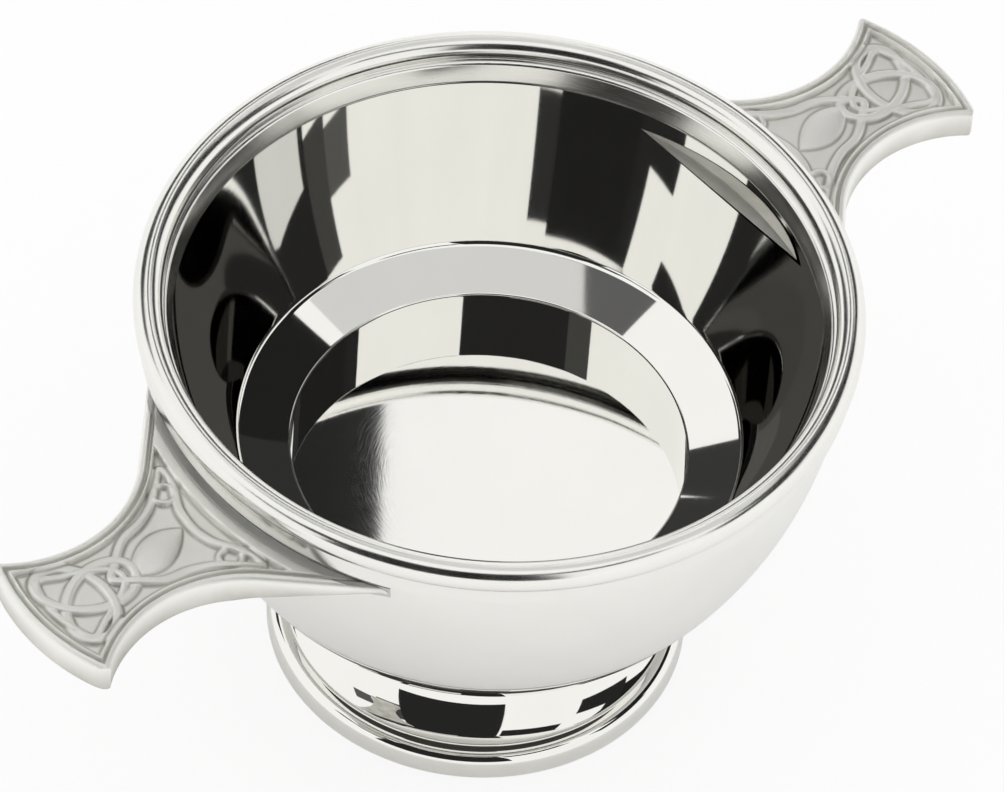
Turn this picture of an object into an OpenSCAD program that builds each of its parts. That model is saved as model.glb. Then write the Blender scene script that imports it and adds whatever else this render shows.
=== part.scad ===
// Quaich: a two-lugged drinking bowl of polished pewter on a spool-shaped foot.
// Five worked pieces are joined by soft solder: bowl, rim band, foot and two cast lugs.
// Millimetres, +Z up. The origin is the centre of the ring that the foot stands on.
// The lugs lie along X, the left lug at -X and the right lug at +X.

/* [Rim band] */
// Outer diameter over the bead
rim_d = 90; // [80:1:110]
// Height of the top of the bead above the table
overall_h = 62; // [56:0.5:74]
// Diameter of the bead's round section
bead_d = 3.6; // [3:0.1:4.4]
// How far the bead stands out past the bowl's lip
bead_overhang = 1.5; // [1:0.1:2]
// Thickness of the collar on each side of the lip
collar_t = 0.7; // [0.5:0.05:1]
// Drop of the collar's lower edge below the middle of the bead
collar_drop = 4; // [3:0.1:5]
// Height of the lip's top edge below the middle of the bead
lip_drop = 1.1; // [0.8:0.1:1.5]

/* [Bowl] */
// Thickness of the wall at the lip
lip_t = 2.4; // [2:0.1:3]
// Radius of the curve that the outside of the wall follows
wall_curve_r = 62; // [56:0.5:72]
// Rounding where the wall turns under to the base
base_corner_r = 2.2; // [1.6:0.1:3]
// Height of the step's edge above the base
step_h = 11.4; // [10.8:0.1:12.4]
// Depth of the flat floor below the step's edge
floor_sink = 6; // [5:0.1:6.6]
// Diameter of the sunken flat floor
floor_d = 49.6; // [46:0.2:52]
// Slope of the shoulder above the step, in degrees
shoulder_slope = 17; // [10:0.5:24]
// Rounding where the wall turns onto the shoulder
shoulder_round = 1.2; // [0.8:0.1:2]
// Radius of the long curve that the inside of the wall follows
inside_curve_r = 110; // [90:1:140]
// Lean of the inside of the wall just under the collar, in degrees
inside_lean = 19; // [17:0.5:21]
// Depth of the turned recess under the floor, inside the foot
under_recess_h = 3; // [2:0.1:3.2]

/* [Foot] */
// Height of the bowl's base above the table
foot_h = 22.2; // [21.6:0.1:24]
// Diameter over the flange that stands on the table
foot_d = 53.4; // [51:0.2:58]
// Height of the flange
flange_h = 3.6; // [3:0.1:4.2]
// Rounding of the flange's upper edge
flange_round = 1.6; // [0.8:0.1:2]
// Width of the ring that stands on the table
stand_w = 1.9; // [1.4:0.1:3]
// Diameter of the foot at its narrow neck
neck_d = 37; // [32:0.5:40]
// Height of the neck above the table
neck_z = 12.8; // [12.2:0.1:13.2]
// Radius of the hollow curve round the neck
neck_curve_r = 10.2; // [9.6:0.1:10.6]
// Thickness of the foot's wall
foot_wall = 1.8; // [1.4:0.1:2.2]
// Diameter of the seat that carries the bowl
seat_d = 46; // [44:0.5:50]
// Diameter of the hole through the seat
seat_hole_d = 32; // [26:0.5:33]
// Depth of the register in the base that the seat enters
register_h = 0.6; // [0.4:0.05:1]

/* [Lugs] */
// Length from the bowl's lip out to the crown of the lug's end
lug_len = 30.2; // [26:0.2:35]
// Distance from the bowl's lip out to the waist
lug_waist = 16.5; // [14:0.5:19]
// Width at the waist
lug_waist_w = 13.4; // [12:0.2:15]
// Radius of the hollow sides
lug_side_r = 17; // [15:0.2:19]
// Angle at which the hollow sides run out straight to the root tips
lug_flare = 45; // [43:0.5:46]
// Radius of the round end
lug_end_r = 28; // [20:0.5:40]
// Greatest width over the two root tips
lug_root_w = 44; // [38:0.5:46]
// Thickness of the lug
lug_t = 4.5; // [3.5:0.1:5]
// Width between the places where the underside starts to rise to the root tips
tip_rise_from = 19; // [17:0.5:22]
// Rise of the underside at the greatest width over the root tips
tip_rise = 3.2; // [2:0.1:3.4]
// Gap between the collar's lower edge and the lug's top
lug_gap = 1.2; // [0.2:0.1:2]
// Width of the step along the upper edge
edge_step_w = 0.6; // [0.3:0.05:1]
// Height of the step along the upper edge
edge_step_h = 0.7; // [0.3:0.05:1.2]
// Width of the raised border
border_w = 1.3; // [0.8:0.05:2]
// Depth of the sunken panel
panel_depth = 0.7; // [0.3:0.05:1.2]
// Distance from the bowl's wall to the border along the root
root_ledge_w = 1.6; // [1:0.1:2.5]
// Depth of the plain ledge between the root border and the wall
root_ledge_depth = 0.4; // [0.2:0.05:0.8]

/* [Solder] */
// Thickness of the solder film in every joint
solder_t = 0.15; // [0.1:0.01:0.25]
// How far the lug's solder pad shows round its root
pad_show = 0.4; // [0.2:0.1:1]
// Leg of the solder fillet round the foot's seat
fillet_leg = 0.9; // [0.5:0.1:1.2]

/* [Hidden] */
$fn = 240;

polished = [0.80, 0.80, 0.78];
satin = [0.72, 0.71, 0.67];
solder_grey = [0.58, 0.59, 0.60];

// Extra length that lets a cutter pass through a face
over = 1;
// How far the rounding cuts into the shoulder and the wall, so that the curves cross and don't just touch
round_bite = 0.02;
// How far the straight part of a lug's side lies within its round hollow, for the same reason
flare_bite = 0.05;

bead_r = bead_d / 2;
bead_mid_r = rim_d / 2 - bead_r;
bead_mid_z = overall_h - bead_r;
lip_out_r = rim_d / 2 - bead_overhang;
lip_in_r = lip_out_r - lip_t;
lip_top_z = bead_mid_z - lip_drop;
collar_low_z = bead_mid_z - collar_drop;
collar_out_r = lip_out_r + solder_t + collar_t;
collar_in_r = lip_in_r - solder_t - collar_t;

wall_mid_r = lip_out_r - wall_curve_r;
corner_z = foot_h + base_corner_r;
corner_depth = lip_top_z - corner_z;
corner_reach = wall_curve_r - base_corner_r;
corner_r = wall_mid_r + sqrt(corner_reach * corner_reach - corner_depth * corner_depth);
corner_top_z = lip_top_z - corner_depth * wall_curve_r / corner_reach;

step_z = foot_h + step_h;
floor_z = step_z - floor_sink;
floor_r = floor_d / 2;
inside_mid_r = lip_in_r - inside_curve_r * cos(inside_lean);
inside_mid_z = collar_low_z + inside_curve_r * sin(inside_lean);

// The rounding touches the wall's curve from within and the sloping shoulder from above
round_reach = inside_curve_r - shoulder_round;
edge_off_r = floor_r - shoulder_round * sin(shoulder_slope) - inside_mid_r;
edge_off_z = step_z + shoulder_round * cos(shoulder_slope) - inside_mid_z;
edge_off_along = edge_off_r * cos(shoulder_slope) + edge_off_z * sin(shoulder_slope);
edge_off_across = edge_off_z * cos(shoulder_slope) - edge_off_r * sin(shoulder_slope);
shoulder_run = sqrt(round_reach * round_reach - edge_off_across * edge_off_across) - edge_off_along;
shoulder_r = floor_r + shoulder_run * cos(shoulder_slope);
shoulder_z = step_z + shoulder_run * sin(shoulder_slope);
round_mid_r = shoulder_r - shoulder_round * sin(shoulder_slope);
round_mid_z = shoulder_z + shoulder_round * cos(shoulder_slope);
wall_foot_r = inside_mid_r + (round_mid_r - inside_mid_r) * inside_curve_r / round_reach;
wall_foot_z = inside_mid_z + (round_mid_z - inside_mid_z) * inside_curve_r / round_reach;

foot_r = foot_d / 2;
neck_mid_r = neck_d / 2 + neck_curve_r;
seat_r = seat_d / 2;
seat_z = foot_h + register_h - solder_t;
hollow_top_z = seat_z - foot_wall;

lug_reach = lip_out_r + lug_len;
lug_waist_x = lip_out_r + lug_waist;
lug_top_z = collar_low_z - lug_gap;
lug_low_z = lug_top_z - lug_t;
panel_z = lug_top_z - panel_depth;
border_in = edge_step_w + border_w;
root_border_r = lip_out_r + root_ledge_w;

// Filled section inside the outer wall, with the base corner rounded
module bowl_outside_2d(grow = 0) {
    translate([0, collar_low_z]) square([lip_out_r + grow, lip_top_z - collar_low_z]);
    intersection() {
        translate([wall_mid_r, lip_top_z]) circle(wall_curve_r + grow);
        translate([0, corner_top_z]) square([rim_d, lip_top_z - corner_top_z]);
    }
    translate([0, foot_h]) square([corner_r, collar_low_z - foot_h]);
    intersection() {
        translate([corner_r, corner_z]) circle(base_corner_r + grow);
        translate([0, foot_h - grow]) square([rim_d, base_corner_r + grow]);
    }
}

// Section of the space that holds the drink: lip, long curved wall, rounding, shoulder, step and floor
module bowl_inside_2d() {
    translate([0, lip_top_z - over]) square([lip_in_r, 2 * over]);
    intersection() {
        translate([inside_mid_r, inside_mid_z]) circle(inside_curve_r);
        translate([0, wall_foot_z]) square([lip_in_r, lip_top_z - wall_foot_z]);
    }
    translate([round_mid_r, round_mid_z]) circle(shoulder_round + round_bite);
    polygon([[0, floor_z], [floor_r, floor_z], [floor_r, step_z], [shoulder_r, shoulder_z],
             [wall_foot_r, wall_foot_z], [floor_r, lip_top_z], [0, lip_top_z]]);
}

module bowl_section() {
    difference() {
        bowl_outside_2d();
        bowl_inside_2d();
        translate([0, foot_h - over]) square([seat_r + solder_t, register_h + over]);
        translate([0, foot_h]) square([seat_hole_d / 2, under_recess_h]);
    }
}

// Channel in the rim band that the lip enters
module lip_channel_2d() {
    translate([lip_in_r - solder_t, collar_low_z - over])
        square([lip_t + 2 * solder_t, lip_top_z + solder_t - collar_low_z + over]);
}

module rim_section() {
    difference() {
        union() {
            translate([bead_mid_r, bead_mid_z]) circle(bead_r);
            translate([collar_in_r, collar_low_z])
                square([collar_out_r - collar_in_r, collar_drop]);
        }
        lip_channel_2d();
    }
}

module flange_2d() {
    square([foot_r, flange_h - flange_round]);
    square([foot_r - flange_round, flange_h]);
    translate([foot_r - flange_round, flange_h - flange_round]) circle(flange_round);
}

// Space under the foot, which follows the hollow curve at one wall's thickness
module foot_hollow_2d() {
    difference() {
        union() {
            translate([0, -over]) square([foot_r - stand_w, neck_z + over]);
            square([seat_r - foot_wall, hollow_top_z]);
        }
        translate([neck_mid_r, neck_z]) circle(neck_curve_r + foot_wall);
    }
    square([seat_hole_d / 2, seat_z + over]);
}

module foot_section() {
    difference() {
        union() {
            flange_2d();
            difference() {
                union() {
                    square([foot_r - flange_round, neck_z]);
                    square([seat_r, seat_z]);
                }
                translate([neck_mid_r, neck_z]) circle(neck_curve_r);
            }
        }
        foot_hollow_2d();
    }
}

// What is cut away along one side of a lug: a round hollow that runs out straight to the root tip
module lug_side_2d(inset) {
    translate([lug_waist_x, lug_waist_w / 2 + lug_side_r]) {
        circle(lug_side_r + inset);
        rotate(-lug_flare)
            translate([-lug_reach, flare_bite - lug_side_r - inset])
                square([lug_reach, 2 * lug_side_r]);
    }
}

// Fishtail plan of a lug, drawn in by the given inset
module lug_plan(inset = 0) {
    difference() {
        intersection() {
            translate([0, inset - lug_root_w / 2]) square([lug_reach, lug_root_w - 2 * inset]);
            union() {
                translate([0, -lug_root_w / 2]) square([lug_waist_x, lug_root_w]);
                translate([lug_reach - lug_end_r, 0]) circle(lug_end_r - inset);
            }
        }
        lug_side_2d(inset);
        mirror([0, 1]) lug_side_2d(inset);
    }
}

// What is cut away under one root tip, so that the tip thins out along the wall
module tip_wedge() {
    rotate([90, 0, 90]) linear_extrude(lug_waist_x)
        polygon([[tip_rise_from / 2, lug_low_z],
                 [lug_root_w / 2, lug_low_z + tip_rise],
                 [lug_root_w / 2 + over, lug_low_z + tip_rise],
                 [lug_root_w / 2 + over, lug_low_z - over]]);
}

// Cast lug at +X, cut at its root to the curve of the wall
module lug() {
    difference() {
        union() {
            translate([0, 0, lug_low_z]) linear_extrude(lug_t - edge_step_h) lug_plan();
            translate([0, 0, lug_low_z]) linear_extrude(lug_t) lug_plan(edge_step_w);
        }
        tip_wedge();
        mirror([0, 1, 0]) tip_wedge();
        translate([0, 0, panel_z]) linear_extrude(panel_depth + over)
            difference() {
                lug_plan(border_in);
                circle(root_border_r + border_w);
            }
        translate([0, 0, lug_top_z - root_ledge_depth])
            linear_extrude(root_ledge_depth + over) circle(root_border_r);
        rotate_extrude() bowl_outside_2d(solder_t);
    }
}

// Film of solder between a lug at +X and the wall, showing a little round the root
module lug_solder() {
    difference() {
        intersection() {
            rotate_extrude() difference() {
                bowl_outside_2d(solder_t);
                bowl_outside_2d();
            }
            translate([0, 0, lug_low_z - pad_show])
                linear_extrude(lug_t + pad_show) lug_plan(-pad_show);
        }
        translate([0, 0, -pad_show]) {
            tip_wedge();
            mirror([0, 1, 0]) tip_wedge();
        }
    }
}

module bowl() { color(polished) rotate_extrude() bowl_section(); }

module rim() { color(polished) rotate_extrude() rim_section(); }

module foot() { color(polished) rotate_extrude() foot_section(); }

module lug_left() { color(satin) rotate([0, 0, 180]) lug(); }

module lug_right() { color(satin) lug(); }

module solder_rim() {
    color(solder_grey) rotate_extrude() difference() {
        intersection() {
            lip_channel_2d();
            translate([0, collar_low_z]) square([rim_d, collar_drop]);
        }
        translate([lip_in_r, collar_low_z]) square([lip_t, lip_top_z - collar_low_z]);
    }
}

module solder_foot() {
    color(solder_grey) rotate_extrude() {
        translate([seat_hole_d / 2, seat_z])
            square([seat_r + solder_t - seat_hole_d / 2, solder_t]);
        translate([seat_r, foot_h - solder_t]) square([solder_t, register_h + solder_t]);
        difference() {
            translate([seat_r, foot_h - fillet_leg]) square(fillet_leg);
            translate([seat_r + fillet_leg, foot_h - fillet_leg]) circle(fillet_leg);
        }
    }
}

module solder_lug_left() { color(solder_grey) rotate([0, 0, 180]) lug_solder(); }

module solder_lug_right() { color(solder_grey) lug_solder(); }

bowl();
rim();
foot();
lug_left();
lug_right();
solder_rim();
solder_foot();
solder_lug_left();
solder_lug_right();
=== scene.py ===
# %% [markdown]
# # A pewter quaich, dressed for its portrait
# A quaich is a shallow drinking bowl with two flat handles, called lugs, that is passed from hand to hand.
# This one is pewter. The bowl and its foot are polished like a mirror, the beaded rim a little less, and the
# lugs are satin castings with interlace. The measured solids come in first as a fixed frame, and each step
# then makes one visible piece or one finish around them, in metres.

# %% Load the fixed frame
import math

import bmesh
import bpy
import numpy as np
from mathutils import Matrix, Quaternion, Vector
from mathutils.geometry import intersect_sphere_sphere_2d


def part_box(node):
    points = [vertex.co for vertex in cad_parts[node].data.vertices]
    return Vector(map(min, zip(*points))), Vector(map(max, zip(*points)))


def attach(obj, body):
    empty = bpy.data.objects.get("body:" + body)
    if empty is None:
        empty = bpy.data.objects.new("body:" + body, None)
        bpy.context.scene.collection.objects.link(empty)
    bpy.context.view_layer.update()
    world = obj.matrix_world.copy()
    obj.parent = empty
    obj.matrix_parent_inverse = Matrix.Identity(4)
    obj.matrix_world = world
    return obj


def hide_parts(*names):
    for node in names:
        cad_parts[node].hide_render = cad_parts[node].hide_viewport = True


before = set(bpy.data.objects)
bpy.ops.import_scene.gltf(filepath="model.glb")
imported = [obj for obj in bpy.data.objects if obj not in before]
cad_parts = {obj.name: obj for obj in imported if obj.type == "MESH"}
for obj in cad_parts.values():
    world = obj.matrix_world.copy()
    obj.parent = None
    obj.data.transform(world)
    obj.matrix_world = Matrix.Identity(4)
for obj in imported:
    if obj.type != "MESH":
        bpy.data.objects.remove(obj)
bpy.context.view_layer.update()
mm = 0.001
print("solids in the frame:", sorted(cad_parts))

# %% [markdown]
# ## Measuring the frame
# The solids already say how big everything is, so the heights and radii are read from their boxes.
# The other sizes are the ones that a turner would mark on the drawing of the section.

# %% Sizes that the solids give
rim_low, rim_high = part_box("rim")
bowl_low, bowl_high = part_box("bowl")
foot_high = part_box("foot")[1]
lug_low, lug_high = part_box("lug_right")

rim_r = rim_high.x
rim_top = rim_high.z
collar_low = rim_low.z
lip_r = bowl_high.x
lip_top = bowl_high.z
base_z = bowl_low.z
foot_r = foot_high.x
seat_z = foot_high.z
print(f"rim {2000 * rim_r:.1f} mm wide, {1000 * rim_top:.1f} mm high; lugs reach {1000 * lug_high.x:.1f} mm")

# %% [markdown]
# ## Turned pieces
# The bowl, the rim and the foot are all round about one axis. They could be cut from cylinders, but a half
# section that is spun about the axis is what a turner makes, and it gives even rings that mirror cleanly.
# A polished surface shows every flaw in its normals, so two short segments hold each corner of the section,
# and the long curves are arcs with many small steps.

# %% Helpers for turned pieces
spin_steps, bevel_steps = 256, 4
weld = 0.0005 * mm
same_ring = 5 * weld
hold_gap = 0.3 * mm
hold_room = 2.5 * hold_gap
corner_turn = math.radians(12)
crease = math.radians(40)


def arc(middle, radius, start, end, steps):
    """Points along a circle arc in the section, with its angles in degrees."""
    turns = np.radians(np.linspace(start, end, steps + 1))
    return [(middle[0] + radius * math.cos(a), middle[1] + radius * math.sin(a)) for a in turns]


def angle_of(middle, point):
    """Angle in degrees at which a point of the section lies round a middle."""
    return math.degrees(math.atan2(point[1] - middle[1], point[0] - middle[0]))


def held(outline, closed):
    """The outline with two extra points close to each corner, so that flats stay flat."""
    points = [Vector(p) for p in outline]
    count = len(points)
    result = []
    for i, point in enumerate(points):
        before, after = points[i - 1] - point, points[(i + 1) % count] - point
        at_end = not closed and i in (0, count - 1)
        if at_end or math.pi - before.angle(after, math.pi) < corner_turn:
            result.append(point)
            continue
        if before.length > hold_room:
            result.append(point + before.normalized() * hold_gap)
        result.append(point)
        if after.length > hold_room:
            result.append(point + after.normalized() * hold_gap)
    return result


def add_piece(bm, name):
    """Shade a finished bmesh smooth, keep its hard edges hard, and put it in the scene."""
    for face in bm.faces:
        face.smooth = True
    for edge in bm.edges:
        edge.smooth = edge.calc_face_angle(0) < crease
    mesh = bpy.data.meshes.new(name)
    bm.to_mesh(mesh)
    bm.free()
    piece = bpy.data.objects.new(name, mesh)
    bpy.context.scene.collection.objects.link(piece)
    print(name, "has", len(mesh.polygons), "faces")
    return piece


def turned_piece(name, outline, soft_rings, closed=False):
    """Spin a half section about the axis, then round the rings that are listed with a width."""
    bm = bmesh.new()
    verts = [bm.verts.new((r, 0, z)) for r, z in held(outline, closed)]
    pairs = list(zip(verts, verts[1:]))
    if closed:
        pairs.append((verts[-1], verts[0]))
    edges = [bm.edges.new(pair) for pair in pairs]
    bmesh.ops.spin(bm, geom=verts + edges, cent=(0, 0, 0), axis=(0, 0, 1),
                   angle=math.tau, steps=spin_steps, use_merge=True)
    bmesh.ops.remove_doubles(bm, verts=bm.verts, dist=weld)
    bmesh.ops.recalc_face_normals(bm, faces=bm.faces)
    for (r, z), width in soft_rings:
        ring = [e for e in bm.edges if all(
            abs(v.co.xy.length - r) < same_ring and abs(v.co.z - z) < same_ring for v in e.verts)]
        bmesh.ops.bevel(bm, geom=ring, offset=width, offset_type="OFFSET", segments=bevel_steps,
                        profile=0.5, affect="EDGES", material=-1)
    return add_piece(bm, name)


# %% [markdown]
# ## The bowl
# The bowl is one shell. Outside, its wall runs down in a long arc and turns under to the base. Inside, a
# nearly straight wall leans in, turns in a small rounding onto a sloping shoulder, and a plain step drops to
# a sunken flat floor. The step's ring is crisp in the polished metal, so it gets only a hair of rounding.

# %% Section of the bowl
lip_t = 2.4 * mm
wall_curve = 62 * mm
base_round = 2.2 * mm
step_edge = Vector((24.8 * mm, base_z + 11.4 * mm))
floor_sink = 6 * mm
shoulder_slope = math.radians(17)
shoulder_round = 1.2 * mm
inside_curve = 110 * mm
inside_lean = math.radians(19)
seat_r = 23 * mm
hole_r = 16 * mm
film = 0.15 * mm
register = 0.6 * mm
recess_top = base_z + 3 * mm

lip_in = lip_r - lip_t
to_wall_top = Vector((math.cos(inside_lean), -math.sin(inside_lean)))
inside_mid = Vector((lip_in, collar_low)) - inside_curve * to_wall_top
up_slope = Vector((math.cos(shoulder_slope), math.sin(shoulder_slope)))
off_slope = Vector((-math.sin(shoulder_slope), math.cos(shoulder_slope)))
edge_off = step_edge + shoulder_round * off_slope - inside_mid
round_reach = inside_curve - shoulder_round
shoulder_run = math.sqrt(round_reach ** 2 - edge_off.dot(off_slope) ** 2) - edge_off.dot(up_slope)
round_mid = step_edge + shoulder_run * up_slope + shoulder_round * off_slope
round_end = angle_of(inside_mid, round_mid)
wall_mid = (lip_r - wall_curve, lip_top)
turn_z = base_z + base_round
turn_reach = wall_curve - base_round
turn_r = wall_mid[0] + math.sqrt(turn_reach ** 2 - (lip_top - turn_z) ** 2)
turn_mid = (turn_r, turn_z)
turn_angle = angle_of(wall_mid, turn_mid)
floor_edge = (step_edge.x, step_edge.y - floor_sink)

bowl_outline = [(0, floor_edge[1]), (floor_edge[0] / 2, floor_edge[1]), floor_edge, tuple(step_edge)]
bowl_outline += arc(round_mid, shoulder_round, math.degrees(shoulder_slope) - 90, round_end, steps=12)
bowl_outline += arc(inside_mid, inside_curve, round_end, -math.degrees(inside_lean), steps=40)[1:]
bowl_outline += [(lip_in, lip_top)]
bowl_outline += arc(wall_mid, wall_curve, 0, turn_angle, steps=44)
bowl_outline += arc(turn_mid, base_round, turn_angle, -90, steps=10)[1:]
bowl_outline += [(seat_r + film, base_z), (seat_r + film, base_z + register), (hole_r, base_z + register)]
bowl_outline += [(hole_r, recess_top), (hole_r / 2, recess_top), (0, recess_top)]

hair = 0.12 * mm
bowl_soft = [(tuple(step_edge), 2 * hair)]
bowl_shell = turned_piece("bowl_shell", bowl_outline, bowl_soft)

# %% [markdown]
# ## The rim
# A cast ring caps the lip: a round bead stands outside, and a collar laps the wall on both sides. Inside, a
# fine groove parts the bead from the collar, whose face leans in as the wall does and is rounded where it
# ends. The ring could be a torus with two tubes, but one closed section keeps bead and collars in one skin,
# and the roundings catch the thin bright lines that such a rim shows.

# %% Section of the rim
bead_r = 1.8 * mm
bead_mid = (rim_r - bead_r, rim_top - bead_r)
collar_t = 0.7 * mm
collar_out = lip_r + film + collar_t
collar_in = lip_in - film - collar_t
bead_join = (collar_out, bead_mid[1] - math.sqrt(bead_r ** 2 - (collar_out - bead_mid[0]) ** 2))
groove_turn = 205
groove_soft, join_soft = 0.3 * mm, 0.25 * mm
face_in, face_up = 1.2 * film, 1.4 * film
face_overhang, face_end_round = 0.4 * mm, 0.6 * mm
face_top = (lip_in - face_in, lip_top + face_up)
face_end = (collar_in - face_overhang, collar_low)
face_lean = math.atan2(face_top[0] - face_end[0], face_top[1] - face_end[1])
face_end_mid = (face_end[0] + face_end_round / math.tan((math.pi / 2 - face_lean) / 2),
                collar_low + face_end_round)

rim_outline = [(collar_out, collar_low)]
rim_outline += arc(bead_mid, bead_r, angle_of(bead_mid, bead_join), groove_turn, steps=44)
rim_outline += [face_top]
rim_outline += arc(face_end_mid, face_end_round, 180 - math.degrees(face_lean), 270, steps=14)
rim_outline += [(lip_in - film, collar_low)]
rim_outline += [(lip_in - film, lip_top + film), (lip_r + film, lip_top + film)]
rim_outline += [(lip_r + film, collar_low)]

rim_soft = [(face_top, groove_soft), ((collar_out, collar_low), hair), (bead_join, join_soft)]
rim_band = turned_piece("rim_band", rim_outline, rim_soft, closed=True)

# %% [markdown]
# ## The foot
# The bowl stands on a hollow spool: a rounded flange below, a deep hollow curve round the neck, and a seat
# that enters the base. A cylinder with a carved waist would do, but a spun section keeps the wall even.

# %% Section of the foot
flange_h = 3.6 * mm
flange_round = 1.6 * mm
stand_w = 1.9 * mm
neck_r = 18.5 * mm
neck_z = 12.8 * mm
cove_r = 10.2 * mm
spool_t = 1.8 * mm
outer_soft, inner_soft = 0.3 * mm, 0.25 * mm

cove_mid = (neck_r + cove_r, neck_z)
flange_mid = (foot_r - flange_round, flange_h - flange_round)
flange_join = (cove_mid[0] - math.sqrt(cove_r ** 2 - (neck_z - flange_h) ** 2), flange_h)
seat_join = (seat_r, neck_z + math.sqrt(cove_r ** 2 - (cove_mid[0] - seat_r) ** 2))
hollow_r = cove_r + spool_t
stand_in = foot_r - stand_w
hollow_low = (stand_in, neck_z - math.sqrt(hollow_r ** 2 - (cove_mid[0] - stand_in) ** 2))
hollow_top = seat_z - spool_t
hollow_high = (cove_mid[0] - math.sqrt(hollow_r ** 2 - (hollow_top - neck_z) ** 2), hollow_top)
cove_start, cove_end = 360 + angle_of(cove_mid, flange_join), angle_of(cove_mid, seat_join)
hollow_start, hollow_end = angle_of(cove_mid, hollow_high), 360 + angle_of(cove_mid, hollow_low)

foot_outline = [(stand_in, 0), (foot_r, 0)]
foot_outline += arc(flange_mid, flange_round, 0, 90, steps=10)
foot_outline += arc(cove_mid, cove_r, cove_start, cove_end, steps=48)
foot_outline += [(seat_r, seat_z), (hole_r, seat_z), (hole_r, hollow_top)]
foot_outline += arc(cove_mid, hollow_r, hollow_start, hollow_end, steps=36)

foot_soft = [((foot_r, 0), outer_soft), ((stand_in, 0), inner_soft), (flange_join, 2 * hair)]
foot_spool = turned_piece("foot_spool", foot_outline, foot_soft, closed=True)

# %% [markdown]
# ## The lugs: plan
# Each lug is a flat casting with a fishtail plan: hollow sides that run out straight to pointed root tips, a
# round end, and a root that is cut to the curve of the wall. A sculptor would start from a block. Here a flat
# grid is stretched over the plan, row by row from the root to the end, so that its lines follow the outline
# and the carving can be fine. Its two outer corners are drawn in a little, as the casting's corners are soft.

# %% Plan of a lug
lug_reach = lug_high.x
lug_top = lug_high.z
lug_under = lug_low.z
waist_x = lip_r + 16.5 * mm
waist_half = 6.7 * mm
side_r = 17 * mm
end_r = 28 * mm
flare = math.radians(45)
corner_draw, corner_reach = 0.6 * mm, 14
lug_rows, lug_columns = 240, 170

side_mid = Vector((waist_x, waist_half + side_r))
end_mid = Vector((lug_reach - end_r, 0))
corner = max(intersect_sphere_sphere_2d(side_mid, side_r, end_mid, end_r), key=lambda p: p.x)
off_flare = Vector((math.sin(flare), math.cos(flare)))
flare_start = side_mid - side_r * off_flare
flare_off = flare_start.dot(off_flare)


def root_radius(z):
    """Distance from the axis to the solder film on the wall, at a height."""
    return wall_mid[0] + math.sqrt(wall_curve ** 2 - (lip_top - z) ** 2) + film


root_r = root_radius(lug_top)
tip_turn = math.pi / 2 - flare - math.acos(flare_off / root_r)
tip = Vector((root_r * math.cos(tip_turn), root_r * math.sin(tip_turn)))
print(f"a lug is {2000 * tip.y:.1f} mm wide at the root tips and {2000 * corner.y:.1f} mm at the end")


def half_width(x):
    """Half the lug's width at a distance from the axis."""
    hollow = side_mid.y - np.sqrt(np.clip(side_r ** 2 - (x - waist_x) ** 2, 0, None))
    straight = flare_start.y + (flare_start.x - x) * math.tan(flare)
    return np.where(x > flare_start.x, hollow, straight)


def spread_over_plan(along, across):
    """Plan positions for a grid that runs 0 to 1 from root to end and -1 to 1 across."""
    root_x = np.sqrt(root_r ** 2 - (across * tip.y) ** 2)
    end_x = end_mid.x + np.sqrt(end_r ** 2 - (across * corner.y) ** 2)
    side_x = tip.x * (1 - along) + corner.x * along
    draw = corner_draw * (along * np.abs(across)) ** corner_reach
    return root_x * (1 - along) + end_x * along - draw, across * half_width(side_x) - np.sign(across) * draw


def edge_distance(x, y):
    """Distance in from the hollow sides and the round end, in millimetres."""
    from_mid_x, from_mid_y = x - side_mid.x, np.abs(y) - side_mid.y
    hollow = np.hypot(from_mid_x, from_mid_y) - side_r
    straight = flare_off - x * off_flare.x - np.abs(y) * off_flare.y
    side = np.where(from_mid_x * off_flare.y < from_mid_y * off_flare.x, straight, hollow)
    end = np.where(x > waist_x, end_r - np.hypot(x - end_mid.x, y), end_r)
    return np.minimum(side, end) / mm


# %% [markdown]
# ## The lugs: interlace
# The panel of each lug carries old interlace: a three-lobed knot at the end with a triangular ring woven
# through it, a loop that locks into the knot and runs back into both root corners, a small ring in each of
# those corners, and a smooth leaf in the middle. The knot is the classic trefoil, whose formula also says
# which strand passes over. The other strands go through a few listed points. Every strand
# is kept as samples of place and height, with half its width, in millimetres.

# %% Strands of the interlace
knot_samples = 240
knot_level, knot_weave = 0.78, 0.22
band_level, band_weave = 0.8, 0.2
knot_turns = np.linspace(0, math.tau, knot_samples, endpoint=False)


def trefoil(middle, size):
    """Samples (x, y, height 0 to 1) of a three-lobed knot, in millimetres."""
    along = size * (np.cos(knot_turns) - 2 * np.cos(2 * knot_turns))
    across = size * (np.sin(knot_turns) + 2 * np.sin(2 * knot_turns))
    height = knot_level + knot_weave * np.sin(3 * knot_turns)
    return np.stack([middle[0] + along, middle[1] + across, height], axis=1)


def small_ring(middle, radius):
    """Samples of a small ring, in millimetres."""
    along, across = radius * np.cos(knot_turns), radius * np.sin(knot_turns)
    height = band_level + band_weave * np.sin(2 * knot_turns)
    return np.stack([middle[0] + along, middle[1] + across, height], axis=1)


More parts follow.
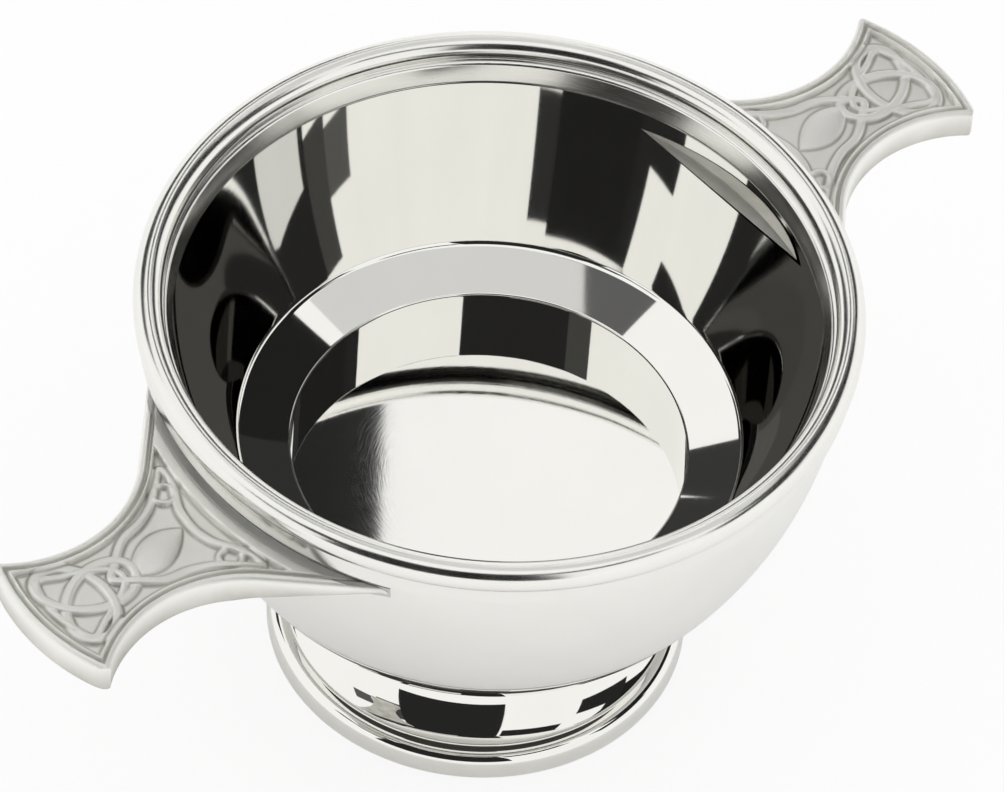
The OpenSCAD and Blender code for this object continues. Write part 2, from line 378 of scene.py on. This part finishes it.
def mirrored_loop(first, half, last, steps, weaves):
    """Samples of a closed smooth curve through points that are mirrored about the lug's middle."""
    back = [(x, -y) for x, y in reversed(half)]
    p1 = np.array([(first, 0)] + half + [(last, 0)] + back, float)
    p0, p2, p3 = np.roll(p1, 1, axis=0), np.roll(p1, -1, axis=0), np.roll(p1, -2, axis=0)
    spans = []
    for t in np.linspace(0, 1, steps, endpoint=False):
        spans.append(0.5 * (2 * p1 + (p2 - p0) * t + (2 * p0 - 5 * p1 + 4 * p2 - p3) * t ** 2
                            + (3 * p1 - p0 - 3 * p2 + p3) * t ** 3))
    plan = np.stack(spans, axis=1).reshape(-1, 2)
    weave_turns = np.linspace(0, weaves * math.tau, len(plan), endpoint=False)
    return np.column_stack([plan, band_level + band_weave * np.sin(weave_turns)])


body_side = [(59.8, 1.9), (57.0, 3.9), (53.6, 4.7), (50.6, 6.2), (48.2, 8.3), (46.5, 9.6), (46.1, 8.0),
             (47.3, 5.6), (48.4, 3.6), (48.9, 1.8)]
triangle_side = [(70.1, 3.2), (69.0, 5.4), (66.4, 4.3), (63.6, 3.0), (61.2, 1.5)]
knot_mid, knot_size = (65.6, 0), 2.3
ring_along, ring_across, ring_r = 48.5, 6.3, 1.4
knot_half, triangle_half, body_half, ring_half = 0.72, 0.5, 0.66, 0.42

end_knot = trefoil(knot_mid, knot_size)
triangle = mirrored_loop(first=70.5, half=triangle_side, last=60.4, steps=20, weaves=5)
body_loop = mirrored_loop(first=61.8, half=body_side, last=49.1, steps=16, weaves=6)
strands = [(end_knot, knot_half), (triangle, triangle_half), (body_loop, body_half)]
for side in (1, -1):
    strands.append((small_ring((ring_along, side * ring_across), ring_r), ring_half))
leaf_mid, leaf_long, leaf_wide, leaf_bend = (54.9, 0), 4.9, 2.5, 0.9
print("strands of the interlace:", len(strands))

# %% [markdown]
# ## The lugs: carving
# The relief is a height for every point of the grid. Going in from the edge there is a rounded arris, a
# fine groove, a thin inner ridge and then the sunken panel, and along the root a ridge follows the bowl.
# Each strand is round with a chased line along its back. A darkness is also kept on each vertex, because
# patina stays in the lines beside the strands and wears off the rest. The sides and the underside are
# darkened downwards too, by a chosen amount: that is painted shade, not patina.

# %% Relief of a lug
edge_round, groove_at, groove_half, groove_depth = 0.8, 1.15, 0.34, 0.42
panel_from, panel_to, panel_depth = 1.6, 2.0, 0.75
ledge_to, root_ridge_to, root_slope, ledge_depth = 1.5, 2.7, 0.4, 0.25
strand_height, leaf_height = 0.7, 0.62
chase_depth, chase_half = 0.3, 0.3
line_at, line_half = 0.1, 0.2
far_off, least_taper = 9.0, 0.001
# The panel and ledge darkness is patina; the last value is painted shade for the sides and the underside.
panel_dark, ledge_dark, side_painted_shade = 0.1, 0.1, 0.9


def step_up(value, low, high):
    """0 below low, 1 above high and a smooth rise between."""
    t = np.clip((value - low) / (high - low), 0, 1)
    return t * t * (3 - 2 * t)


def dark_line(gap):
    """Darkness of the line of patina beside an edge, from the distance to that edge."""
    return np.exp(-((gap - line_at) / line_half) ** 2)


def interlace(x, y):
    """Height of the interlace above the panel and the gap to the nearest strand, in millimetres."""
    relief = np.zeros_like(x)
    gap = np.full_like(x, far_off)
    for samples, half in strands:
        for sx, sy, height in samples:
            away = np.hypot(x - sx, y - sy)
            chase = 1 - chase_depth * np.clip(1 - (away / (chase_half * half)) ** 2, 0, None)
            bulge = height * chase * np.sqrt(np.clip(1 - (away / half) ** 2, 0, None))
            relief = np.maximum(relief, strand_height * bulge)
            gap = np.minimum(gap, away - half)
    a = (x - leaf_mid[0]) / leaf_long
    taper = np.clip(1 - a ** 2, least_taper, None)
    b = (y - leaf_mid[1] - leaf_bend * a) / leaf_wide
    leaf = leaf_height * np.sqrt(np.clip(1 - (b / taper) ** 2, 0, None)) * np.sqrt(taper)
    leaf = np.where(np.abs(a) < 1, leaf, 0)
    leaf_gap = np.where(np.abs(a) < 1, (np.abs(b) - taper) * leaf_wide, far_off)
    return np.maximum(relief, leaf), np.minimum(gap, leaf_gap)


def carve(x, y):
    """Depth below the lug's top and the darkness of the patina, at plan positions in metres."""
    edge = edge_distance(x, y)
    root = (np.hypot(x, y) - root_r) / mm
    near_edge = np.clip(edge_round - edge, 0, edge_round)
    rounding = edge_round - np.sqrt(edge_round ** 2 - near_edge ** 2)
    groove = groove_depth * np.clip(1 - ((edge - groove_at) / groove_half) ** 2, 0, None)
    in_root = step_up(root, root_ridge_to, root_ridge_to + root_slope)
    panel = step_up(edge, panel_from, panel_to) * in_root
    ledge = ledge_depth * (1 - step_up(root, ledge_to - root_slope, ledge_to))
    relief, gap = interlace(x / mm, y / mm)
    sunk = panel * (panel_depth - relief)
    border_line = np.maximum(dark_line(edge - panel_to), dark_line(root - root_ridge_to - root_slope))
    beside = np.maximum(dark_line(gap), border_line)
    dark = panel * (panel_dark + beside) + groove / groove_depth + ledge_dark * ledge / ledge_depth
    return np.maximum(np.maximum(rounding, ledge), np.maximum(groove, sunk)) * mm, np.clip(dark, 0, 1)


# %% [markdown]
# ## The lugs: casting
# The carved grid is only a skin. Its outline is extruded straight down for the sides, the root follows the
# wall as it goes, the underside rises to the root tips and is filled, and a bevel rounds the lower edge. The
# second lug is the same casting, turned half a turn about the axis.

# %% Cast both lugs
under_round = 0.7 * mm
carve_soften = 0.3
root_slack, free_from = 0.01 * mm, 0.2 * mm
tip_rise, rise_from, rise_to = 3.2 * mm, 9.5 * mm, 22 * mm


def cast_lug(name, turn):
    """Make one carved lug, turned about the axis."""
    bm = bmesh.new()
    depth_layer = bm.verts.layers.float.new("recess")
    bmesh.ops.create_grid(bm, x_segments=lug_rows, y_segments=lug_columns, size=1)
    grid = np.array([v.co.xy for v in bm.verts])
    grid /= np.abs(grid).max(axis=0)
    along, across = (grid[:, 0] + 1) / 2, grid[:, 1]
    x, y = spread_over_plan(along, across)
    drop, recess = carve(x, y)
    for vert, vx, vy, vz, dark in zip(bm.verts, x, y, lug_top - drop, recess):
        vert.co = (vx, vy, vz)
        vert[depth_layer] = dark
    bmesh.ops.smooth_vert(bm, verts=bm.verts, factor=carve_soften, use_axis_z=True)
    outline = [e for e in bm.edges if e.is_boundary]
    lower = bmesh.ops.extrude_edge_only(bm, edges=outline)["geom"]
    for vert in (g for g in lower if isinstance(g, bmesh.types.BMVert)):
        towards_tip = max(0, (abs(vert.co.y) - rise_from) / (rise_to - rise_from))
        vert.co.z = lug_under + (tip_rise * towards_tip if vert.co.x < waist_x else 0)
        if vert.co.xy.length < root_r + root_slack:
            vert.co.xy *= root_radius(vert.co.z) / root_r
        # The sides and the underside take painted shade here, darker towards the bottom.
        vert[depth_layer] = side_painted_shade
    ring = [g for g in lower if isinstance(g, bmesh.types.BMEdge)]
    bmesh.ops.edgeloop_fill(bm, edges=ring)
    bmesh.ops.recalc_face_normals(bm, faces=bm.faces)
    free_edge = [e for e in ring if max(v.co.xy.length for v in e.verts) > lip_r + free_from]
    bmesh.ops.bevel(bm, geom=free_edge, offset=under_round, offset_type="OFFSET", segments=bevel_steps,
                    profile=0.5, affect="EDGES", material=-1)
    bmesh.ops.dissolve_degenerate(bm, dist=weld, edges=bm.edges)
    bmesh.ops.rotate(bm, cent=(0, 0, 0), matrix=Matrix.Rotation(turn, 3, "Z"), verts=bm.verts)
    return add_piece(bm, name)


near_lug = cast_lug("near_lug", math.pi)
far_lug = cast_lug("far_lug", 0)

# %% [markdown]
# ## Shared effects
# Three effects turn up on more than one metal, so each is a shader group with its own inputs. Polishing
# leaves fine rings and hairlines round the axis, handling leaves slow changes of tone, and casting leaves
# a fine grain. All of them read Object coordinates, which stay with the metal.

# %% Helpers for shader groups


def new_group(name, inputs, outputs):
    """Start a shader group with plain number sockets."""
    group = bpy.data.node_groups.new(name, "ShaderNodeTree")
    for socket, value in inputs.items():
        made = group.interface.new_socket(socket, in_out="INPUT", socket_type="NodeSocketFloat")
        made.default_value = value
    for socket in outputs:
        group.interface.new_socket(socket, in_out="OUTPUT", socket_type="NodeSocketFloat")
    return group, group.nodes.new("NodeGroupInput"), group.nodes.new("NodeGroupOutput")


def math_node(tree, operation, first, second):
    """Add a Math node for two numbers or outputs."""
    node = tree.nodes.new("ShaderNodeMath")
    node.operation = operation
    for socket, value in zip(node.inputs, (first, second)):
        if isinstance(value, (int, float)):
            socket.default_value = value
        else:
            tree.links.new(value, socket)
    return node.outputs[0]


def noise(tree, vector, scale, detail):
    """Add a Noise texture whose scale is a number or an output."""
    node = tree.nodes.new("ShaderNodeTexNoise")
    tree.links.new(vector, node.inputs["Vector"])
    node.inputs["Detail"].default_value = detail
    if isinstance(scale, (int, float)):
        node.inputs["Scale"].default_value = scale
    else:
        tree.links.new(scale, node.inputs["Scale"])
    return node.outputs["Fac"]


# %% Group: polishing rings round the axis
swells_per_metre, streak_share = 55, 0.02
polish, polish_in, polish_out = new_group(
    "polishing_rings", {"Rings per metre": 5200, "Hairlines": 9}, ["Height", "Streak"])
place = polish.nodes.new("ShaderNodeTexCoord").outputs["Object"]
parts = polish.nodes.new("ShaderNodeSeparateXYZ")
polish.links.new(place, parts.inputs[0])
turn_about = math_node(polish, "ARCTAN2", parts.outputs["Y"], parts.outputs["X"])
squares = math_node(polish, "ADD", math_node(polish, "MULTIPLY", parts.outputs["X"], parts.outputs["X"]),
                    math_node(polish, "MULTIPLY", parts.outputs["Y"], parts.outputs["Y"]))
from_axis = math_node(polish, "SQRT", squares, 0)
climb = math_node(polish, "ADD", from_axis, parts.outputs["Z"])
hairlines = math_node(polish, "MULTIPLY", turn_about, polish_in.outputs["Hairlines"])
ring_lines = math_node(polish, "MULTIPLY", climb, polish_in.outputs["Rings per metre"])
lathe_place = polish.nodes.new("ShaderNodeCombineXYZ")
polish.links.new(hairlines, lathe_place.inputs["X"])
polish.links.new(ring_lines, lathe_place.inputs["Y"])
streaks = noise(polish, lathe_place.outputs[0], scale=1, detail=3)
swell = noise(polish, place, scale=swells_per_metre, detail=1)
height = math_node(polish, "ADD", math_node(polish, "MULTIPLY", streaks, streak_share), swell)
polish.links.new(height, polish_out.inputs["Height"])
polish.links.new(streaks, polish_out.inputs["Streak"])
print("group made:", polish.name)

# %% Group: tone from handling
handling, handling_in, handling_out = new_group("handling_tone", {"Patches per metre": 90}, ["Tone"])
place = handling.nodes.new("ShaderNodeTexCoord").outputs["Object"]
patches = noise(handling, place, handling_in.outputs["Patches per metre"], detail=4)
handling.links.new(patches, handling_out.inputs["Tone"])
print("group made:", handling.name)

# %% Group: grain left by casting
grain, grain_in, grain_out = new_group("casting_grain", {"Grains per metre": 2600}, ["Height"])
place = grain.nodes.new("ShaderNodeTexCoord").outputs["Object"]
grains = noise(grain, place, grain_in.outputs["Grains per metre"], detail=3)
grain.links.new(grains, grain_out.inputs["Height"])
print("group made:", grain.name)

# %% [markdown]
# ## The finishes
# Polished pewter is a slightly warm grey mirror, softer than silver. The rim looks more blurred than the bowl
# in the photo, so it gets a rougher version of that finish. Satin pewter is the same metal with a dull skin:
# light on the high places, darker where the recesses keep their patina, and darker on its sides and underside
# with painted shade. Solder is duller and bluer. A metal
# has no colour of its own apart from its reflections, so Metallic is 1 on all of them. Painted pictures of
# the metal would do from afar, but noise in the material stays fine from close by and needs no unwrapping.

# %% Helpers for metal
bump_depth = 0.05 * mm
noise_low, noise_high = 0.3, 0.7
first_colour, second_colour, mixed_colour = 6, 7, 2


def new_metal(name, bump_strength):
    """Start a metal whose surface is bumped; its colour, roughness and bump height are still to be linked."""
    metal = bpy.data.materials.new(name)
    metal.use_nodes = True
    tree = metal.node_tree
    shader = tree.nodes["Principled BSDF"]
    shader.inputs["Metallic"].default_value = 1
    bump = tree.nodes.new("ShaderNodeBump")
    bump.inputs["Distance"].default_value = bump_depth
    bump.inputs["Strength"].default_value = bump_strength
    tree.links.new(bump.outputs["Normal"], shader.inputs["Normal"])
    return metal, tree, shader, bump


def use_group(tree, group, **values):
    """Place a shader group in a material, with its own values."""
    node = tree.nodes.new("ShaderNodeGroup")
    node.node_tree = group
    for socket, value in values.items():
        node.inputs[socket.replace("_", " ")].default_value = value
    return node


def blend_colour(tree, factor, low, high):
    """Mix two colours by an output."""
    node = tree.nodes.new("ShaderNodeMix")
    node.data_type = "RGBA"
    tree.links.new(factor, node.inputs["Factor"])
    node.inputs[first_colour].default_value = (*low, 1)
    node.inputs[second_colour].default_value = (*high, 1)
    return node.outputs[mixed_colour]


def spread_value(tree, value, low, high):
    """Spread the middle range of a noise between two values."""
    node = tree.nodes.new("ShaderNodeMapRange")
    tree.links.new(value, node.inputs["Value"])
    node.inputs["From Min"].default_value = noise_low
    node.inputs["From Max"].default_value = noise_high
    node.inputs["To Min"].default_value = low
    node.inputs["To Max"].default_value = high
    return node.outputs["Result"]


# %% Polished pewter
pewter_deep, pewter_light = (0.86, 0.853, 0.815), (0.92, 0.913, 0.875)


def polished_metal(name, smoothest, roughest):
    """Pewter with polishing rings, between two roughnesses."""
    metal, tree, shader, bump = new_metal(name, bump_strength=0.25)
    rings = use_group(tree, polish)
    tone = use_group(tree, handling)
    colour = blend_colour(tree, tone.outputs["Tone"], pewter_deep, pewter_light)
    roughness = spread_value(tree, rings.outputs["Streak"], smoothest, roughest)
    tree.links.new(colour, shader.inputs["Base Color"])
    tree.links.new(roughness, shader.inputs["Roughness"])
    tree.links.new(rings.outputs["Height"], bump.inputs["Height"])
    print("finish made:", name)
    return metal


mirror_pewter = polished_metal("mirror_pewter", smoothest=0.02, roughest=0.04)
buffed_pewter = polished_metal("buffed_pewter", smoothest=0.14, roughest=0.2)

# %% Satin pewter
# The dark colour serves both the patina in the hollows and the painted shade on the sides and the underside.
cast_light, cast_patina_and_shade = (0.95, 0.945, 0.905), (0.46, 0.45, 0.40)
cast_pewter, tree, shader, bump = new_metal("cast_pewter", bump_strength=0.8)
tone = use_group(tree, handling, Patches_per_metre=160)
cast_skin = use_group(tree, grain)
depth_mark = tree.nodes.new("ShaderNodeAttribute")
depth_mark.attribute_name = "recess"
patina_and_shade_share = spread_value(tree, tone.outputs["Tone"], low=0.6, high=1)
patina_and_shade_amount = math_node(tree, "MULTIPLY", depth_mark.outputs["Fac"], patina_and_shade_share)
roughness = spread_value(tree, tone.outputs["Tone"], low=0.46, high=0.58)
tree.links.new(blend_colour(tree, patina_and_shade_amount, cast_light, cast_patina_and_shade), shader.inputs["Base Color"])
tree.links.new(roughness, shader.inputs["Roughness"])
tree.links.new(cast_skin.outputs["Height"], bump.inputs["Height"])
print("finish made:", cast_pewter.name)

# %% Soft solder
solder_deep, solder_light = (0.54, 0.55, 0.56), (0.68, 0.69, 0.70)
wiped_solder, tree, shader, bump = new_metal("wiped_solder", bump_strength=0.5)
tone = use_group(tree, handling, Patches_per_metre=300)
cast_skin = use_group(tree, grain, Grains_per_metre=1500)
colour = blend_colour(tree, tone.outputs["Tone"], solder_deep, solder_light)
roughness = spread_value(tree, tone.outputs["Tone"], low=0.25, high=0.4)
tree.links.new(colour, shader.inputs["Base Color"])
tree.links.new(roughness, shader.inputs["Roughness"])
tree.links.new(cast_skin.outputs["Height"], bump.inputs["Height"])
print("finish made:", wiped_solder.name)

# %% [markdown]
# ## Joining the pieces to the frame
# Each new piece stands for one solid and moves with the one rigid body. The solder seams keep the solids'
# own shapes, which are right already, and only get their finish.

# %% Ride, replace and finish
stands_for = [(bowl_shell, "bowl", mirror_pewter), (rim_band, "rim", buffed_pewter),
              (foot_spool, "foot", mirror_pewter), (near_lug, "lug_left", cast_pewter),
              (far_lug, "lug_right", cast_pewter)]
for piece, node, metal in stands_for:
    piece.data.materials.append(metal)
    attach(piece, "root")
    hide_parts(node)
for name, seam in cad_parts.items():
    if name.startswith("solder"):
        seam.data.materials.clear()
        seam.data.materials.append(wiped_solder)
print("pieces joined:", [piece.name for piece, node, metal in stands_for])

# %% [markdown]
# ## The studio
# A mirror is only as good as the room that it reflects. The floor is pale and the light is soft. Seen by the
# camera the floor is mostly plain white, so that only a breath of the contact shadow is left. Light that has
# been mirrored more than twice inside the bowl is dimmed at its source, which gives the deep shade of the
# side walls. Real pewter takes far less light away: this is a stage trick, and its amount was chosen.

# %% Floor
floor_half = 2.0
white_share = 0.82
floor_tone, floor_roughness = 0.97, 0.9
bm = bmesh.new()
bmesh.ops.create_grid(bm, x_segments=1, y_segments=1, size=floor_half)
studio_floor = add_piece(bm, "studio_floor")
floor_paint = bpy.data.materials.new("floor_paint")
floor_paint.use_nodes = True
tree = floor_paint.node_tree
floor_shader = tree.nodes["Principled BSDF"]
floor_shader.inputs["Base Color"].default_value = (floor_tone, floor_tone, floor_tone, 1)
floor_shader.inputs["Roughness"].default_value = floor_roughness
floor_shader.inputs["Specular IOR Level"].default_value = 0
camera_white = tree.nodes.new("ShaderNodeEmission")
to_camera = tree.nodes.new("ShaderNodeMixShader")
camera_ray = tree.nodes.new("ShaderNodeLightPath").outputs["Is Camera Ray"]
tree.links.new(math_node(tree, "MULTIPLY", camera_ray, white_share), to_camera.inputs["Fac"])
tree.links.new(floor_shader.outputs[0], to_camera.inputs[1])
tree.links.new(camera_white.outputs[0], to_camera.inputs[2])
tree.links.new(to_camera.outputs[0], tree.nodes["Material Output"].inputs["Surface"])
studio_floor.data.materials.append(floor_paint)

# %% Soft light all round
bright_mirrors, fade_share = 2, 0.07
world = bpy.data.worlds.new("studio_world")
bpy.context.scene.world = world
world.use_nodes = True
sky = world.node_tree.nodes["Background"]
sky.inputs["Color"].default_value = (1, 1, 1, 1)
tree = world.node_tree
mirror_depth = tree.nodes.new("ShaderNodeLightPath").outputs["Glossy Depth"]
repeats = math_node(tree, "SUBTRACT", mirror_depth, bright_mirrors)
fade = math_node(tree, "POWER", fade_share, math_node(tree, "MAXIMUM", repeats, 0))
tree.links.new(fade, sky.inputs["Strength"])
print("light all round:", world.name)

# %% [markdown]
# ## Cards round the table
# In an all-white room polished metal looks like chalk, so a photographer sets black and grey cards round
# the table, where only the mirror can see them. Each card is bent to a dome round the bowl. Its edges are
# given from the camera's side, as degrees to its right and degrees above the table. A card can be kept to
# the first reflection of a ray or to the later ones, because a hollow mirror repeats a card many times.

# %% Plan of the cards
dome_mid = Vector((0, 0, 0.04))
dome_r, nearer_r = 0.8, 0.74
card_steps = 12
camera_side = 225
always, first, later = "always", "first", "later"
past_first = 1.5
card_plan = [
    ("camera_card", -42, 22, 16, 63, 0.02, always),
    ("left_of_camera_card", -57, -42, 37, 54, 0.06, always),
    ("left_card", -73, -57, 39, 47, 0.1, always),
    ("right_of_camera_card", 24, 64, 52.5, 61, 0.02, always),
    ("low_right_card", 70, 90, 32, 46, 0.02, always),
    ("right_card", 90, 100, 32, 57, 0.02, always),
    ("back_right_card", 100, 152, 37, 57, 0.015, always),
    ("back_card", 152, 166, 45, 56, 0.03, always),
    ("low_back_card", 140, 175, 24, 40, 0.03, first),
    ("back_left_card", -155, -120, 28, 42, 0.04, always),
    ("low_back_left_card", -172, -130, 20, 34, 0.04, first),
    ("pale_card", -38, -5, 28, 42, 0.75, later),
    ("floor_card", -177.5, -166, 43, 58, 0.02, first),
    ("high_card", -137, -124, 66, 82, 0.12, first),
    ("ceiling_card", 90, 223, 60, 90, 0.7, first),
]


# %% Hang the cards
def hang_card(name, left, right, low, high, brightness, seen):
    """Hang a card that is bent to the dome, with its four edges in degrees."""
    bm = bmesh.new()
    bmesh.ops.create_grid(bm, x_segments=card_steps, y_segments=card_steps, size=1)
    reach = max(v.co.x for v in bm.verts)
    radius = nearer_r if seen == later else dome_r
    for vert in bm.verts:
        across, up = (vert.co.x / reach + 1) / 2, (vert.co.y / reach + 1) / 2
        azimuth = math.radians(camera_side + left + (right - left) * across)
        elevation = math.radians(low + (high - low) * up)
        level = Vector((math.cos(azimuth), math.sin(azimuth), 0))
        vert.co = dome_mid + radius * (math.cos(elevation) * level + math.sin(elevation) * Vector((0, 0, 1)))
    card = add_piece(bm, name)
    paint = bpy.data.materials.new(name + "_paint")
    paint.use_nodes = True
    tree = paint.node_tree
    glow = tree.nodes.new("ShaderNodeEmission")
    glow.inputs["Color"].default_value = (brightness, brightness, brightness, 1)
    shown = glow.outputs[0]
    if seen != always:
        depth = tree.nodes.new("ShaderNodeLightPath").outputs["Glossy Depth"]
        choice = tree.nodes.new("ShaderNodeMixShader")
        clear = tree.nodes.new("ShaderNodeBsdfTransparent").outputs[0]
        tree.links.new(math_node(tree, "GREATER_THAN", depth, past_first), choice.inputs["Fac"])
        for socket, shader in zip(choice.inputs[1:], (shown, clear) if seen == first else (clear, shown)):
            tree.links.new(shader, socket)
        shown = choice.outputs[0]
    tree.links.new(shown, tree.nodes["Material Output"].inputs["Surface"])
    card.data.materials.append(paint)
    card.visible_camera = card.visible_diffuse = card.visible_shadow = False


for plan in card_plan:
    hang_card(*plan)

# %% [markdown]
# ## The camera
# The portrait was taken from well above with a long lens, which keeps the rings nearly true ellipses. A short
# lens close by would show the same side, but it would swell the near lug.

# %% Camera
azimuth, elevation, distance = math.radians(-45.0), math.radians(50.75), 1.1334
aim = Vector((0.01602, 0.01434, 0.01799))
tilt = math.radians(4.6)
lens_mm, sensor_mm = 318.0, 36.0
camera_data = bpy.data.cameras.new("portrait_camera")
camera_data.lens = lens_mm
camera_data.sensor_width = sensor_mm
camera = bpy.data.objects.new("portrait_camera", camera_data)
bpy.context.scene.collection.objects.link(camera)
camera.location = distance * Vector((math.sin(azimuth) * math.cos(elevation),
                                     -math.cos(azimuth) * math.cos(elevation), math.sin(elevation)))
look = (aim - camera.location).to_track_quat("-Z", "Y")
camera.rotation_mode = "QUATERNION"
camera.rotation_quaternion = look @ Quaternion((0, 0, 1), tilt)
bpy.context.scene.camera = camera
bpy.context.scene.view_settings.view_transform = "Standard"
print("camera at", [round(v, 3) for v in camera.location])
